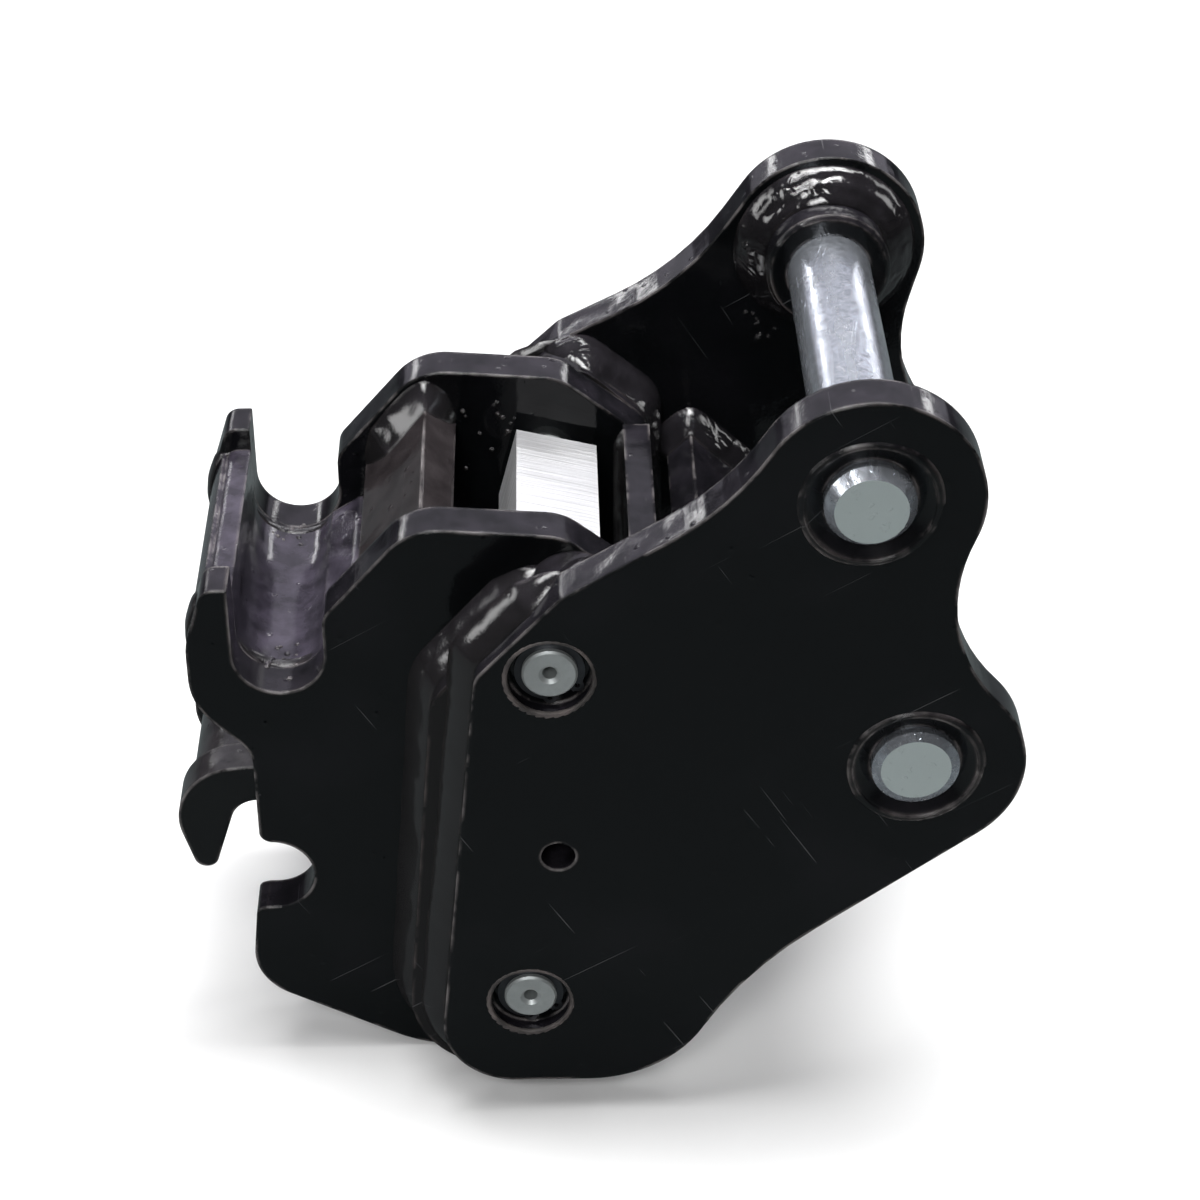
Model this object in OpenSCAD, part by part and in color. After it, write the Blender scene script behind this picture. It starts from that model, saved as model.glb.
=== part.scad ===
// Hydraulic quick coupler for a mini excavator.
// X runs from the bucket side (-) to the arm side (+), Y along the pins, Z up.
// The coupler stands on the lower edges of its two body plates, at Z = 0.

/* [Ears] */
// Distance between the outer faces of the two ears
ear_span = 250; // [240:1:270]
// Thickness of each ear
ear_t = 20; // [16:1:22]
// Radius of the rounded lobe around each arm pin
lobe_r = 50; // [46:1:52]

/* [Arm pins] */
// Diameter of both arm pins
arm_pin_d = 40; // [35:1:42]
// Outer radius of the weld-in bosses that hold the arm pins
boss_r = 30; // [27:1:33]
// How far the upper arm pin stands proud of each ear
upper_pin_proud = 6; // [3:0.5:8]
// How far the lower arm pin stands proud of each ear
lower_pin_proud = 2.5; // [1:0.5:5]
// Radial size of the chamfer on the arm pin ends
arm_pin_chamfer = 4; // [2:0.5:5]

/* [Body plates] */
// Thickness of each body plate
plate_t = 20; // [16:1:22]
// Thickness of the spacer between an ear and a body plate
spacer_t = 26; // [22:1:28]
// Radius of the fixed front hook
hook_r = 21; // [20:0.5:22]
// Radius of the rear jaw
jaw_r = 20.5; // [20:0.5:21.5]
// Thickness of the plate that closes the body behind the cylinder
wall_t = 13; // [10:1:16]
// Diameter of the hole for the manual safety pin
safety_d = 16; // [12:1:18]

/* [Claw] */
// Thickness of each claw cheek
cheek_t = 20; // [16:1:22]
// Overall width of the claw
claw_w = 110; // [104:1:112]
// Outer radius of the claw's hub
hub_r = 34; // [30:1:34]
// Outer radius of the claw bushes
bush_r = 16; // [15:0.5:18]

/* [Cylinder] */
// Diameter of the cylinder pin and the claw pivot pin
small_pin_d = 25; // [22:1:26]
// Lean of the cylinder from the vertical at rest, in degrees
cyl_lean = 14; // [13:0.5:15]
// Width of the cylinder block, across its axis
block_w = 40; // [38:1:42]
// Length of the cylinder block, along Y
block_len = 102; // [96:1:106]
// Outer radius of the barrel
barrel_r = 27; // [25:0.5:29]
// Bore radius of the barrel
bore_r = 20; // [18:0.5:21]
// Radius of the piston rod
rod_r = 14; // [11:0.5:15]
// Distance from the cylinder pin to the rod pin at rest
rod_reach = 172; // [170:1:174]
// Radius of the rod pin
rod_pin_r = 10; // [8:0.5:11]

/* [Hidden] */

$fn = 96;
eps = 1;                 // overshoot of a cut past the face it leaves
run_gap = 0.05;          // radial clearance of a running fit

// Faces across the width, as distances from the middle plane
ear_out = ear_span / 2;
ear_in = ear_out - ear_t;
plate_out = ear_in - spacer_t;
plate_in = plate_out - plate_t;
cheek_out = claw_w / 2;
cheek_in = cheek_out - cheek_t;

// Centres of the pins and the two bucket pin seats, as [x, z]
upper_pin = [120, 353];
lower_pin = [148, 211];
cyl_pin = [-17, 263];
claw_pivot = [-28, 71];
hook_c = [-141, 244];
jaw_c = [-152, 113.5];
safety_c = [-14, 161];

arm_pin_r = arm_pin_d / 2;
small_r = small_pin_d / 2;
rod_dir = [-sin(cyl_lean), -cos(cyl_lean)];
rod_pin_c = cyl_pin + rod_reach * rod_dir;

// Recess in the ears around the ends of the two small pins
recess_r = 19.5;
recess_depth = 8;
small_pin_end = ear_out - 3;

// Edge of the ear
neck_r = 84;             // hollow curve between the two lobes

// The hollow curve on the bucket side of each ear, and the corner it runs into.
// The far ear is cut a little slimmer than the near one there.
near_flank = [149, 133, 0, [-6, 298]];
far_flank = [152, 139, 2, [-4.5, 294]];

// Cylinder stations along its axis, measured from the cylinder pin
block_top = -16.5;
block_end = 22;
barrel_end = 78;
gland_end = 84;
bore_start = 30;
piston_at = 48;
piston_len = 16;
rod_end = 151.5;

// ---- helpers ----

// Outline around a chain of circles [x, z, r], counter-clockwise, joined by their common tangents.
// A positive radius is a convex corner and a negative one is a hollow corner.
function heading(v) = atan2(v[1], v[0]);
function tangent(a, b) =
    let (d = [b[0] - a[0], b[1] - a[1]])
    heading(d) - acos(max(-1, min(1, (a[2] - b[2]) / norm(d))));
function turn(from, to, convex) =
    let (d = (to - from) % 360, up = d < 0 ? d + 360 : d)
    convex ? up : up - 360;
function arc_points(c, from, sweep) =
    let (steps = max(1, ceil(abs(sweep) / 5)))
    [for (i = [0:steps])
        let (at = from + sweep * i / steps)
        [c[0], c[1]] + c[2] * [cos(at), sin(at)]];
function belt(chain) =
    let (n = len(chain))
    [for (i = [0:n - 1])
        let (
            before = chain[(i + n - 1) % n],
            here = chain[i],
            after = chain[(i + 1) % n],
            start = tangent(before, here),
            stop = tangent(here, after),
            sweep = turn(start, stop, here[2] > 0)
        )
        for (p = arc_points(here, start, abs(sweep) > 359.9 ? 0 : sweep)) p];

// A plate standing in the XZ plane, between two distances from the middle plane
module plate(y0, y1) {
    translate([0, y1, 0]) rotate([90, 0, 0]) linear_extrude(height = y1 - y0) children();
}

// A round bar or bore along Y, centred on [x, z]
module bar(c, r, y0, y1) {
    translate([c[0], y1, c[1]]) rotate([90, 0, 0]) cylinder(r = r, h = y1 - y0);
}

// A tapered bar along Y, from radius r0 at y0 to radius r1 at y1
module cone_bar(c, r0, r1, y0, y1) {
    translate([c[0], y0, c[1]]) rotate([-90, 0, 0]) cylinder(r1 = r0, r2 = r1, h = y1 - y0);
}

// Mirrors a near-side piece, modelled at negative Y, to the far side
module on_side(side) {
    if (side < 0) children();
    else mirror([0, 1, 0]) children();
}

// Places a child modelled along +Z from the cylinder pin, pointing down the cylinder's axis
module along_cylinder() {
    translate([cyl_pin[0], 0, cyl_pin[1]]) rotate([0, 180 + cyl_lean, 0]) children();
}

// ---- outlines ----

// The flank is [angle at which it leaves the lobe, its radius, how much less the lobe's radius is, corner]
function ear_chain(cut) =
    let (
        lobe = lobe_r - cut[2],
        flank = upper_pin + (lobe + cut[1]) * [cos(cut[0]), sin(cut[0])],
        half = (lower_pin - upper_pin) / 2,
        across = [-half[1], half[0]] / norm(half),
        neck = upper_pin + half + across * sqrt(pow(lobe_r + neck_r, 2) - pow(norm(half), 2)),
        corner_r = 10
    )
    [
        [upper_pin[0] + cut[2] / 2, upper_pin[1], lobe],
        [flank[0], flank[1], -cut[1]],
        [cut[3][0], cut[3][1], corner_r],
        [-39, 258, 12],
        [-35, 54.5, 35],
        [0, 81.5, 62],
        [231, -42, -200],
        [lower_pin[0], lower_pin[1], lobe_r],
        [neck[0], neck[1], -neck_r]
    ];

body_chain = [
    [-20, 282, 26],
    [-66, 281, 30.5],
    [-108, 260, 12],
    [hook_c[0], hook_c[1], 1.5 - hook_r],
    [hook_c[0] - hook_r - 1.5, 277.5, 3],
    [hook_c[0] - hook_r - 6, 273, 7.5],
    [hook_c[0], hook_c[1], 42],
    [-147, 231, 36],
    [-176.5, 181, -20],
    [-150.5, 140, 6],
    [jaw_c[0], jaw_c[1], 1.5 - jaw_r],
    [-157, 88.5, 4],
    [-133.5, 63, 30],
    [-63, 70.5, 70.5],
    [12, 22, 22],
    [14, 262, 20]
];

spacer_chain = [
    [-6, 279, 21],
    [-45, 225, 27],
    [-41, 54.5, 45],
    [-6, 49.5, 40],
    [14, 262, 20]
];

saddle_chain = [
    [-109, 238, 3],
    [hook_c[0], hook_c[1], 1.5 - hook_r],
    [hook_c[0] - hook_r - 1.5, 266, 3],
    [hook_c[0] - hook_r - 6, 262.5, 6.5],
    [hook_c[0], hook_c[1], 41.5],
    [-126, 223, 20]
];

cheek_chain = [
    [-42, 158, 14],
    [-167, 129, 31],
    [-186.3, 105.5, 6],
    [-159, 127, -13.5],
    [jaw_c[0], jaw_c[1], -27],
    [claw_pivot[0], claw_pivot[1], hub_r]
];

nose_chain = [
    [-124, 148, 8],
    [-166, 128, 27.5],
    [-185, 107.5, 5],
    [-159, 127, -14.5],
    [jaw_c[0], jaw_c[1], -28.5],
    [-122, 146, 6]
];

// ---- welded frame ----

// Everything that passes through the plates on one side, from the middle plane outwards
module small_pin_holes(y0, y1) {
    bar(cyl_pin, small_r, y0, y1);
    bar(claw_pivot, small_r, y0, y1);
    bar(safety_c, safety_d / 2, y0, y1);
}

module hook_seat(y0, y1) {
    bar(hook_c, hook_r, y0, y1);
    translate([hook_c[0] - hook_r, y0, hook_c[1]]) cube([2 * hook_r, y1 - y0, 60]);
}

module ear(side) {
    color("#15161a") on_side(side) difference() {
        plate(-ear_out, -ear_in) polygon(belt(ear_chain(side < 0 ? near_flank : far_flank)));
        small_pin_holes(-ear_out - eps, -ear_in + eps);
        bar(upper_pin, boss_r, -ear_out - eps, -ear_in + eps);
        bar(lower_pin, boss_r, -ear_out - eps, -ear_in + eps);
        bar(cyl_pin, recess_r, -ear_out - eps, -ear_out + recess_depth);
        bar(claw_pivot, recess_r, -ear_out - eps, -ear_out + recess_depth);
    }
}

module body_plate(side) {
    color("#1a1b1f") on_side(side) difference() {
        plate(-plate_out, -plate_in) polygon(belt(body_chain));
        small_pin_holes(-plate_out - eps, -plate_in + eps);
        hook_seat(-plate_out - eps, -plate_in + eps);
        bar(jaw_c, jaw_r, -plate_out - eps, -plate_in + eps);
        translate([jaw_c[0] - 40, -plate_out - eps, jaw_c[1] - jaw_r])
            cube([40, plate_t + 2 * eps, 2 * jaw_r]);
    }
}

module spacer(side) {
    color("#202126") on_side(side) difference() {
        plate(-ear_in, -plate_out) polygon(belt(spacer_chain));
        small_pin_holes(-ear_in - eps, -plate_out + eps);
    }
}

dish = 4;                // depth of the hollow around the pin, on the boss's outer face
lock_r = 4;              // lock screw that keeps an arm pin in its boss
lock_y = -92;
lock_depth = 4;          // how far the screw's point enters the pin

// A boss runs from the ear's outer face to the plane of the body plate, with a light chamfer inside
module boss(c, side) {
    chamfer = 2;
    color("#26272c") on_side(side) difference() {
        union() {
            bar(c, boss_r, -ear_out, -plate_out - chamfer);
            cone_bar(c, boss_r, boss_r - chamfer, -plate_out - chamfer, -plate_out);
        }
        bar(c, arm_pin_r + run_gap, -ear_out - eps, -plate_out + eps);
        cone_bar(c, boss_r - 2, arm_pin_r + 1, -ear_out, -ear_out + dish);
        lock_screw_hole(c);
    }
}

module lock_screw_hole(c) {
    translate([c[0], lock_y, c[1]]) rotate([0, lock_angle(c), 0]) cylinder(r = lock_r, h = boss_r + eps);
}

// The lock screws point away from the other arm pin
function lock_angle(c) = c == upper_pin ? 60 : 120;

module pin_lock_screws() {
    key_r = 2.3;             // hexagon socket in the screw's head
    key_depth = 4;
    color("#8d9096") for (c = [upper_pin, lower_pin])
        translate([c[0], lock_y, c[1]]) rotate([0, lock_angle(c), 0]) difference() {
            translate([0, 0, arm_pin_r - lock_depth])
                cylinder(r = lock_r, h = boss_r - arm_pin_r + lock_depth);
            translate([0, 0, boss_r - key_depth]) cylinder(r = key_r, h = key_depth + eps, $fn = 6);
        }
}

module arm_pin(c, proud, chamfer_len) {
    end = ear_out + proud;
    color("#c9ccd1") difference() {
        union() {
            bar(c, arm_pin_r, -end + chamfer_len, end - chamfer_len);
            cone_bar(c, arm_pin_r - arm_pin_chamfer, arm_pin_r, -end, -end + chamfer_len);
            cone_bar(c, arm_pin_r, arm_pin_r - arm_pin_chamfer, end - chamfer_len, end);
        }
        lock_screw_seat(c);
    }
}

module lock_screw_seat(c) {
    translate([c[0], lock_y, c[1]]) rotate([0, lock_angle(c), 0])
        translate([0, 0, arm_pin_r - lock_depth]) cylinder(r = lock_r, h = lock_depth + eps);
}

module hook_saddle() {
    color("#3a3b42") difference() {
        plate(-plate_in, plate_in) polygon(belt(saddle_chain));
        hook_seat(-plate_in - eps, plate_in + eps);
    }
}

// Leaning plate that ties the body plates together between the hook and the cylinder
module front_cross_plate() {
    color("#2b2a2e") plate(-plate_in, plate_in)
        polygon([[-75.5, 296], [-106, 259.4], [-106, 230], [-98, 238], [-61, 282.6]]);
}

module rear_wall_plate() {
    color("#232428") translate([20.5, -plate_in, 20]) cube([wall_t, 2 * plate_in, 261]);
}

// Leaning plate between the ears, on the arm side
module arm_side_plate() {
    top = [56, 253];
    length = 55;
    thickness = 17;
    color("#1f2024") translate([top[0], ear_in, top[1]]) rotate([90, 0, 0]) rotate([0, 0, -45])
        translate([0, -thickness]) linear_extrude(height = 2 * ear_in) square([length, thickness]);
}

module bottom_plate() {
    color("#1d1e22") translate([-62, -plate_in, 8]) cube([82.5, 2 * plate_in, 12]);
}

// ---- claw ----

module claw_cheek(side) {
    color("#1b1c20") on_side(side) difference() {
        plate(-cheek_out, -cheek_in) polygon(belt(cheek_chain));
        bar(claw_pivot, bush_r, -cheek_out - eps, -cheek_in + eps);
        bar(rod_pin_c, rod_pin_r, -cheek_out - eps, -cheek_in + eps);
    }
}

module claw_nose() {
    color("#2e2f35") plate(-cheek_in, cheek_in) polygon(belt(nose_chain));
}

module claw_bush(side) {
    color("#b08d4a") on_side(side) difference() {
        bar(claw_pivot, bush_r, -cheek_out, -cheek_in);
        bar(claw_pivot, small_r + run_gap, -cheek_out - eps, -cheek_in + eps);
    }
}

// ---- small pins and their rings ----

groove_w = 1.8;
groove_r = small_r - 0.7;
tap_r = 3.3;             // tapped hole for drawing a small pin out
tap_depth = 14;
tap_mouth_r = 5;
circlip_y = ear_out - recess_depth + 0.2;

module small_pin(c) {
    chamfer = 1;
    color("#b9bdc2") difference() {
        union() {
            bar(c, small_r, -small_pin_end + chamfer, small_pin_end - chamfer);
            cone_bar(c, small_r - chamfer, small_r, -small_pin_end, -small_pin_end + chamfer);
            cone_bar(c, small_r, small_r - chamfer, small_pin_end - chamfer, small_pin_end);
        }
        for (s = [-1, 1]) {
            y0 = s < 0 ? -circlip_y - groove_w : circlip_y;
            difference() {
                bar(c, small_r + eps, y0, y0 + groove_w);
                bar(c, groove_r, y0 - eps, y0 + groove_w + eps);
            }
            on_side(s) bar(c, tap_r, -small_pin_end - eps, -small_pin_end + tap_depth);
            on_side(s) cone_bar(c, tap_mouth_r, tap_r, -small_pin_end - 0.01, -small_pin_end + tap_mouth_r - tap_r);
        }
    }
}

// Open ring with two eyes, in the plane of the ears
module circlip_profile(inner, outer) {
    gap = 28;                // half the angle between the two eyes
    middle = -62;            // where the gap points
    eye_at = inner + 3;
    eye_r = 3.1;
    eye_hole_r = 1.2;
    reach = 40;
    difference() {
        union() {
            circle(r = outer);
            for (a = [-gap, gap]) rotate(a + middle) translate([eye_at, 0]) circle(r = eye_r);
        }
        circle(r = inner);
        rotate(middle) polygon([[0, 0], [reach, -reach * tan(gap / 2)], [reach, reach * tan(gap / 2)]]);
        for (a = [-gap, gap]) rotate(a + middle) translate([eye_at, 0]) circle(r = eye_hole_r, $fn = 24);
    }
}

module circlip(c, y, inner, outer, thickness) {
    translate([c[0], y + thickness, c[1]]) rotate([90, 0, 0])
        linear_extrude(height = thickness) circlip_profile(inner, outer);
}

module pin_circlips() {
    thickness = 1.5;
    color("#5c5f64") for (c = [cyl_pin, claw_pivot], s = [-1, 1])
        circlip(c, s < 0 ? -circlip_y - thickness - 0.1 : circlip_y + 0.1, groove_r, groove_r + 4, thickness);
}

rod_pin_end = cheek_out + 2.6;
rod_ring_y = cheek_out + 0.2;
rod_groove_w = 1.4;
rod_groove_r = rod_pin_r - 0.6;

module rod_pin() {
    color("#b9bdc2") difference() {
        bar(rod_pin_c, rod_pin_r, -rod_pin_end, rod_pin_end);
        for (s = [-1, 1]) {
            y0 = s < 0 ? -rod_ring_y - rod_groove_w : rod_ring_y;
            difference() {
                bar(rod_pin_c, rod_pin_r + eps, y0, y0 + rod_groove_w);
                bar(rod_pin_c, rod_groove_r, y0 - eps, y0 + rod_groove_w + eps);
            }
        }
    }
}

module rod_pin_rings() {
    thickness = 1.2;
    color("#5c5f64") for (s = [-1, 1]) {
        y = s < 0 ? -rod_ring_y - thickness - 0.1 : rod_ring_y + 0.1;
        circlip(rod_pin_c, y, rod_groove_r, rod_pin_r + 3, thickness);
    }
}

// ---- hydraulic cylinder ----

port_y = [-44, -29];     // the two hose ports, side by side on the block's upper face
port_x = -14.5;          // beside the bore of the cylinder pin
port_r = 4.4;
port_depth = 7;

module cylinder_block() {
    color("#cfd2d6") difference() {
        along_cylinder() translate([-block_w / 2 - 1, -block_len / 2, block_top])
            cube([block_w, block_len, block_end - block_top]);
        bar(cyl_pin, small_r + run_gap, -block_len, block_len);
        along_cylinder() for (y = port_y) translate([port_x, y, block_top - eps])
            cylinder(r = port_r, h = port_depth + eps);
    }
}

module cylinder_barrel() {
    color("#2a2b30") along_cylinder() difference() {
        translate([0, 0, block_end]) cylinder(r = barrel_r, h = barrel_end - block_end);
        translate([0, 0, bore_start]) cylinder(r = bore_r, h = barrel_end);
    }
}

wiper_r = rod_r + 3;     // seat of the wiper in the gland
wiper_w = 3;

module gland() {
    spigot = 4;              // the part of the gland that enters the barrel
    color("#8f9297") along_cylinder() difference() {
        union() {
            translate([0, 0, barrel_end]) cylinder(r = barrel_r - 2, h = gland_end - barrel_end);
            translate([0, 0, barrel_end - spigot]) cylinder(r = bore_r, h = spigot);
        }
        translate([0, 0, barrel_end - spigot - eps]) cylinder(r = rod_r + run_gap, h = 30);
        translate([0, 0, gland_end - wiper_w]) cylinder(r = wiper_r, h = wiper_w + eps);
    }
}

module rod_wiper() {
    color("#141414") along_cylinder() translate([0, 0, gland_end - wiper_w]) difference() {
        cylinder(r = wiper_r, h = wiper_w);
        translate([0, 0, -eps]) cylinder(r = rod_r + run_gap, h = wiper_w + 2 * eps);
    }
}

tail_r = rod_r - 4;      // end of the rod that passes through the piston
seal_at = 6;             // place of the seal along the piston
seal_w = 4;
seal_in = bore_r - 3;

module piston() {
    color("#a9adb2") along_cylinder() translate([0, 0, piston_at]) difference() {
        cylinder(r = bore_r - run_gap, h = piston_len);
        translate([0, 0, seal_at]) difference() {
            cylinder(r = bore_r + eps, h = seal_w);
            translate([0, 0, -eps]) cylinder(r = seal_in, h = seal_w + 2 * eps);
        }
        translate([0, 0, -eps]) cylinder(r = tail_r, h = piston_len + 2 * eps);
    }
}

module piston_seal() {
    color("#17395c") along_cylinder() translate([0, 0, piston_at + seal_at]) difference() {
        cylinder(r = bore_r - run_gap, h = seal_w);
        translate([0, 0, -eps]) cylinder(r = seal_in, h = seal_w + 2 * eps);
    }
}

module piston_rod() {
    color("#d6d9dd") along_cylinder() union() {
        translate([0, 0, piston_at]) cylinder(r = tail_r, h = piston_len);
        translate([0, 0, piston_at + piston_len]) cylinder(r = rod_r, h = rod_end - piston_at - piston_len);
    }
}

// The eye has play around the rod pin, because the claw carries the pin on its own arc
module rod_eye() {
    eye_r = 20;
    half = 17;
    play = 0.7;
    neck = 9.5;              // from the rod's end into the eye
    color("#3b3c41") difference() {
        union() {
            bar(rod_pin_c, eye_r, -half, half);
            along_cylinder() translate([0, 0, rod_end]) cylinder(r = rod_r, h = neck);
        }
        bar(rod_pin_c, rod_pin_r + play, -half - eps, half + eps);
    }
}

ear(-1);  // ear_near
ear(1);  // ear_far
body_plate(-1);  // body_plate_near
body_plate(1);  // body_plate_far
spacer(-1);  // spacer_near
spacer(1);  // spacer_far
boss(upper_pin, -1);  // upper_boss_near
boss(upper_pin, 1);  // upper_boss_far
boss(lower_pin, -1);  // lower_boss_near
boss(lower_pin, 1);  // lower_boss_far
arm_pin(upper_pin, upper_pin_proud, 5);  // upper_arm_pin
arm_pin(lower_pin, lower_pin_proud, 2);  // lower_arm_pin
pin_lock_screws();
hook_saddle();
front_cross_plate();
rear_wall_plate();
arm_side_plate();
bottom_plate();
claw_cheek(-1);  // claw_cheek_near
claw_cheek(1);  // claw_cheek_far
claw_nose();
claw_bush(-1);  // claw_bush_near
claw_bush(1);  // claw_bush_far
small_pin(claw_pivot);  // claw_pivot_pin
small_pin(cyl_pin);  // cylinder_pin
pin_circlips();
rod_pin();
rod_pin_rings();
cylinder_block();
cylinder_barrel();
gland();
rod_wiper();
piston();
piston_seal();
piston_rod();
rod_eye();
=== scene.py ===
import math

import bpy
import numpy as np
from mathutils import Matrix, Vector, noise


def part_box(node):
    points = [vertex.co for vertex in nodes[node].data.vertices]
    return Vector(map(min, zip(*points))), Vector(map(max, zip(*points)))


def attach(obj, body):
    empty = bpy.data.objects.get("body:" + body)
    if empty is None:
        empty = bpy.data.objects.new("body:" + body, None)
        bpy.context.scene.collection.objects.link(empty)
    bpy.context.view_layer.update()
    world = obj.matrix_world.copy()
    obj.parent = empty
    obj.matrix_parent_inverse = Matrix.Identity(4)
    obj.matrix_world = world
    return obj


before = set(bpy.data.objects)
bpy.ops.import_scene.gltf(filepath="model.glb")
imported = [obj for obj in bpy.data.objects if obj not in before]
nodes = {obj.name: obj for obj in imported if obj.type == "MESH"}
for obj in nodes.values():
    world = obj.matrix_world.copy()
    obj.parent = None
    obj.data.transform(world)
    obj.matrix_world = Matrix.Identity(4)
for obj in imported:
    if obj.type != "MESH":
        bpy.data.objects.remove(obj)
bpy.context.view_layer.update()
scene = bpy.context.scene

SIDES = ((-1, "near"), (1, "far"))
BOSSES = ("upper", "lower")
WHITE = (1, 1, 1)


# ---------- places, taken from the CAD nodes, and three radii given as numbers ---

def middle_xz(node):
    low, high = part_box(node)
    return ((low.x + high.x) / 2, (low.z + high.z) / 2)


ARM_PINS = {"upper": middle_xz("upper_arm_pin"), "lower": middle_xz("lower_arm_pin")}
SMALL_PINS = {"cylinder": middle_xz("cylinder_pin"), "pivot": middle_xz("claw_pivot_pin")}
EAR_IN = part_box("ear_far")[0].y
EAR_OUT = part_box("ear_far")[1].y
PLATE_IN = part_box("body_plate_far")[0].y
PLATE_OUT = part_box("body_plate_far")[1].y
BOSS_R = (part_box("upper_boss_far")[1].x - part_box("upper_boss_far")[0].x) / 2

PIN_RECESS_R = 0.0196   # the edge of the recess round a small pin, on the ear's outer face
HOOK_R = 0.021          # inside of the hook's saddle
SADDLE_R = 0.0415       # outside of the saddle
HOOK = (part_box("hook_saddle")[0].x + SADDLE_R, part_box("hook_saddle")[0].z + SADDLE_R)
SADDLE_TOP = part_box("hook_saddle")[1].z


def corners_of(node):
    return [v.co for v in nodes[node].data.vertices]


def by_x(c):
    return c.x


def by_z(c):
    return c.z


# the two leaning plates, seen from the side
CROSS = corners_of("front_cross_plate")
CROSS_TOP = max(CROSS, key=by_z)
CROSS_LEFT = min(CROSS, key=lambda c: (round(c.x, 4), -c.z))   # the upper corner of its left end
CROSS_RIGHT = max(CROSS, key=by_x)
ARM_PLATE = corners_of("arm_side_plate")
ARM_TOP = max(ARM_PLATE, key=by_z)
ARM_LEFT = min(ARM_PLATE, key=by_x)
ARM_RIGHT = max(ARM_PLATE, key=by_x)
ARM_LOW = min(ARM_PLATE, key=by_z)


# ---------- paths in the XZ plane and directions along them ----------

GRID = 1e5        # vertices that fall on the same 1/GRID m are one
ON_FACE = 2e-5    # how far a vertex may lie off a flat face


def signed_area(loop):
    after = np.roll(loop, -1, 0)
    return 0.5 * np.sum(loop[:, 0] * after[:, 1] - after[:, 0] * loop[:, 1])


def perimeter(loop):
    return np.sum(np.linalg.norm(loop - np.roll(loop, -1, 0), axis=1))


def face_edges(node, y):
    """The places of a node's vertices, and for each the neighbours along the border of the flat face at y."""
    number = {}
    places = []
    index = []
    for v in nodes[node].data.vertices:
        key = tuple(round(c * GRID) for c in v.co)
        if key not in number:
            number[key] = len(places)
            places.append(v.co.copy())
        index.append(number[key])
    uses = {}
    for face in nodes[node].data.polygons:
        ids = [index[i] for i in face.vertices]
        if all(abs(places[i].y - y) < ON_FACE for i in ids):
            for a, b in zip(ids, ids[1:] + ids[:1]):
                edge = (min(a, b), max(a, b))
                uses[edge] = uses.get(edge, 0) + 1
    near = {}
    for (a, b), count in uses.items():
        if count == 1:
            near.setdefault(a, []).append(b)
            near.setdefault(b, []).append(a)
    return places, near


def outlines(node, y):
    """Closed counter-clockwise outlines, as [x, z] arrays, of the flat face at y, the longest first."""
    places, near = face_edges(node, y)
    found = []
    left = set(near)
    while left:
        walk = [min(left)]
        left.discard(walk[0])
        step = [n for n in near[walk[0]] if n in left]
        while step:
            walk.append(step[0])
            left.discard(step[0])
            step = [n for n in near[step[0]] if n in left]
        loop = np.array([[places[i].x, places[i].z] for i in walk])
        if len(loop) > 3:
            found.append(loop if signed_area(loop) > 0 else loop[::-1])
    return sorted(found, key=perimeter, reverse=True)


def stretch(loop, start, end):
    """The piece of a counter-clockwise outline from the point nearest start to the point nearest end."""
    a = int(np.argmin(np.linalg.norm(loop - np.array(start), axis=1)))
    b = int(np.argmin(np.linalg.norm(loop - np.array(end), axis=1)))
    if b <= a:
        b += len(loop)
    return np.array([loop[i % len(loop)] for i in range(a, b + 1)])


def unit(v):
    v = np.asarray(v, float)
    return v / np.linalg.norm(v, axis=-1, keepdims=True)


def length_along(points):
    return np.r_[0, np.cumsum(np.linalg.norm(np.diff(points, axis=0), axis=1))]


def resample(points, step, closed=False):
    """Points about one step apart, and the length along the path at each."""
    p = np.asarray(points, float)
    if closed:
        p = np.vstack([p, p[:1]])
    d = length_along(p)
    count = max(4, int(round(d[-1] / step)))
    s = np.linspace(0, d[-1], count + 1)
    if closed:
        s = s[:-1]
    return s, np.stack([np.interp(s, d, p[:, i]) for i in range(p.shape[1])], 1)


def at_y(flat, y):
    """Flat [x, z] points put at that y, or flat directions where y is 0."""
    return np.stack([flat[:, 0], np.full(len(flat), float(y)), flat[:, 1]], 1)


def around(angles):
    return np.stack([np.cos(angles), np.sin(angles)], 1)


def outward(path, smooth=1):
    """Directions away from the inside of a counter-clockwise outline, averaged over `smooth` points."""
    lead = unit(np.gradient(path, axis=0))
    if smooth > 1:
        pad = np.pad(lead, ((smooth // 2, smooth // 2), (0, 0)), mode="edge")
        kernel = np.ones(smooth) / smooth
        lead = unit(np.stack([np.convolve(pad[:, i], kernel, "valid") for i in range(2)], 1))
    return np.stack([lead[:, 1], -lead[:, 0]], 1)


# ---------- shader helpers ----------

def material(name):
    mat = bpy.data.materials.new(name)
    mat.use_nodes = True
    tree = mat.node_tree
    tree.nodes.clear()
    out = tree.nodes.new("ShaderNodeOutputMaterial")
    bsdf = tree.nodes.new("ShaderNodeBsdfPrincipled")
    tree.links.new(bsdf.outputs[0], out.inputs[0])
    return mat, tree, bsdf


def mapping(tree, vector, socket, value):
    node = tree.nodes.new("ShaderNodeMapping")
    node.inputs[socket].default_value = value
    tree.links.new(vector, node.inputs["Vector"])
    return node.outputs[0]


def coords(tree, scale=(1, 1, 1), turn=(0, 0, 0)):
    """Object coordinates, turned first and then scaled along the turned axes."""
    at = tree.nodes.new("ShaderNodeTexCoord").outputs["Object"]
    if any(turn):
        at = mapping(tree, at, "Rotation", turn)
    return mapping(tree, at, "Scale", scale)


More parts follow.
